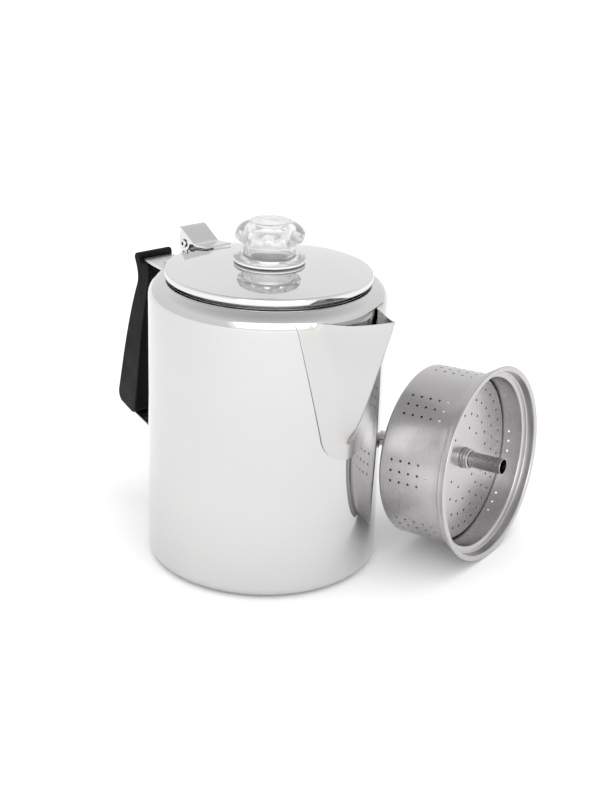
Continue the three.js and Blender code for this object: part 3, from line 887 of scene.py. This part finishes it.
def collar(name, plate_top, height, tail, place):
    """A sleeve round the tube with a lip above its plate, and a fine groove round it."""
    bore = TUBE_RADIUS + GAP
    wall = bore + SHEET
    groove_z = plate_top + height * 0.62
    outline = [(bore, plate_top - tail), (wall, plate_top - tail), (wall, plate_top + 0.1)]
    outline += [(wall + 0.35, plate_top + 0.1), (wall + 0.5, plate_top + 0.25)]
    outline += [(wall + 0.5, plate_top + 0.65)]
    outline += bend(outline[-1], (wall + 0.35, plate_top + 0.9), (wall + 0.25, plate_top + 1.3), 5)
    outline += [(wall + 0.15, groove_z - 0.2), (wall - 0.02, groove_z), (wall + 0.12, groove_z + 0.2)]
    outline += [(wall + 0.1, plate_top + height - 0.1), (wall - 0.1, plate_top + height + 0.1)]
    outline += [(bore, plate_top + height + 0.3)]
    return turned(name, outline, 96, place)


def spreader(place):
    top = -SPREADER_DEPTH
    hole = TUBE_RADIUS + GAP + SHEET + 0.1
    corner = 1.2
    outline = [(hole, top - SHEET), (20, top - SHEET), (SPREADER_RADIUS - 1.8, top - SHEET)]
    outline += [(SPREADER_RADIUS - SHEET, top - 1.8), (SPREADER_RADIUS - SHEET, top - 3)]
    outline += [(SPREADER_RADIUS, top - 3)]
    outline += arc(SPREADER_RADIUS - corner, top - corner, corner, 0, 90, 8)
    outline += [(35, top), (20, top), (hole, top)]
    disc = turned("spreader_disc", outline, 192, place)
    places = []
    for radius, count, phase in ((41.7, 36, 7.7), (33.6, 28, 3.2), (25.5, 20, 13.2)):
        places += hole_ring(radius, count, phase, top)
    pair_spread = 17
    for middle in (66.7, 156.7, 246.7, 336.7):
        places += [on_ring(17.3, middle + side * pair_spread, top) for side in (-1, 1)]
    combine(disc, pegs("disc_holes", places, BASKET_HOLE_RADIUS, 4, place=place), "DIFFERENCE")
    finish_piece(disc, "spreader", "spreader", BREW_SATIN)


def brew_set():
    place = brew_place()
    tube(place)
    bell(place)
    basket(place)
    spreader(place)
    floor_collar = collar("basket_ferrule", SHEET - BASKET_DEPTH, 6, 1.6, place)
    finish_piece(floor_collar, "basket", "basket_collar", BREW_SATIN)
    disc_collar = collar("spreader_ferrule", -SPREADER_DEPTH, 4.4, 1.6, place)
    finish_piece(disc_collar, "spreader", "spreader_collar", BREW_SATIN)


# ---------------------------------------------------------------- studio

def camera():
    heading, pitch, roll = math.radians(47), math.radians(21.44), math.radians(2.18)
    stand = Vector((19.2, -730.0, 377.7)) * MM
    turn = Matrix.Rotation(heading, 3, "Z")
    forward = Vector((0, math.cos(pitch), -math.sin(pitch)))
    level_up = Vector((0, math.sin(pitch), math.cos(pitch)))
    right = Vector((math.cos(roll), 0, 0)) + math.sin(roll) * level_up
    up = math.cos(roll) * level_up - Vector((math.sin(roll), 0, 0))
    axes = Matrix((turn @ right, turn @ up, turn @ -forward)).transposed().to_4x4()
    data = bpy.data.cameras.new("camera")
    data.sensor_fit = "VERTICAL"
    data.sensor_height = 36.0
    data.lens = 63.3
    eye = bpy.data.objects.new("camera", data)
    bpy.context.scene.collection.objects.link(eye)
    eye.matrix_world = Matrix.Translation(turn @ stand) @ axes
    bpy.context.scene.camera = eye


def floor():
    bm = bmesh.new()
    bmesh.ops.create_grid(bm, x_segments=1, y_segments=1, size=6000)
    ground = new_object("floor", bm, Matrix.Translation((0, 0, -0.0002)))
    nodes = Nodes("pale_floor")
    nodes.shader.inputs["Roughness"].default_value = 0.9
    nodes.shader.inputs["Specular IOR Level"].default_value = 0.0
    tone = nodes.colour(nodes.noise(3.0), (0.9, 0.9, 0.9), (0.92, 0.92, 0.92))
    nodes.link(tone, nodes.shader.inputs["Base Color"])
    ground.data.materials.append(nodes.material)


def softbox(name, azimuth, elevation, distance, width, height, radiance):
    """An area light that looks at the middle of the pot."""
    aim = Vector((0, 0, 0.09))
    a, e = math.radians(azimuth), math.radians(elevation)
    out = Vector((math.cos(e) * math.cos(a), math.cos(e) * math.sin(a), math.sin(e)))
    data = bpy.data.lights.new(name, "AREA")
    data.shape = "RECTANGLE"
    data.size = width
    data.size_y = height
    data.energy = radiance * math.pi * width * height
    lamp = bpy.data.objects.new(name, data)
    bpy.context.scene.collection.objects.link(lamp)
    facing = out.to_track_quat("Z", "Y").to_matrix().to_4x4()
    lamp.matrix_world = Matrix.Translation(aim + out * distance) @ facing


def overhead_light(irradiance):
    """Soft light from straight above, as even at the horizon as at the pot."""
    data = bpy.data.lights.new("overhead", "SUN")
    data.angle = math.radians(70)
    data.energy = irradiance
    lamp = bpy.data.objects.new("overhead", data)
    bpy.context.scene.collection.objects.link(lamp)
    lamp.visible_glossy = False


def sky():
    """A white tent that is greyer overhead than at eye level."""
    world = bpy.data.worlds.new("tent")
    bpy.context.scene.world = world
    world.use_nodes = True
    tree = world.node_tree
    direction = tree.nodes.new("ShaderNodeTexCoord").outputs["Generated"]
    split = tree.nodes.new("ShaderNodeSeparateXYZ")
    tree.links.new(direction, split.inputs[0])
    ramp = tree.nodes.new("ShaderNodeValToRGB")
    tree.links.new(split.outputs["Z"], ramp.inputs["Fac"])
    stops = ramp.color_ramp.elements
    stops[0].position = 0.0
    stops[0].color = (0.95, 0.95, 0.95, 1)
    stops[1].position = 1.0
    stops[1].color = (0.60, 0.595, 0.60, 1)
    middle = stops.new(0.5)
    middle.color = (0.98, 0.98, 0.98, 1)
    background = tree.nodes["Background"]
    tree.links.new(ramp.outputs["Color"], background.inputs["Color"])
    background.inputs["Strength"].default_value = 1.0


def studio():
    camera_azimuth = -41.5
    floor()
    sky()
    softbox("key", camera_azimuth + 4, 26, 1.6, 2.0, 1.0, 1.1)
    softbox("wrap", camera_azimuth + 8, 21, 1.7, 3.0, 1.3, 0.3)
    overhead_light(1.4)
    bpy.context.scene.view_settings.view_transform = "Standard"


# ---------------------------------------------------------------- assembly

pot()
spout()
dress_cad("handle_strap", STRAP_SATIN, 0.25)
grip()
bracket()
pin()
leaf()
lid()
lid_skirt()
gasket()
knob()
brew_set()
camera()
studio()
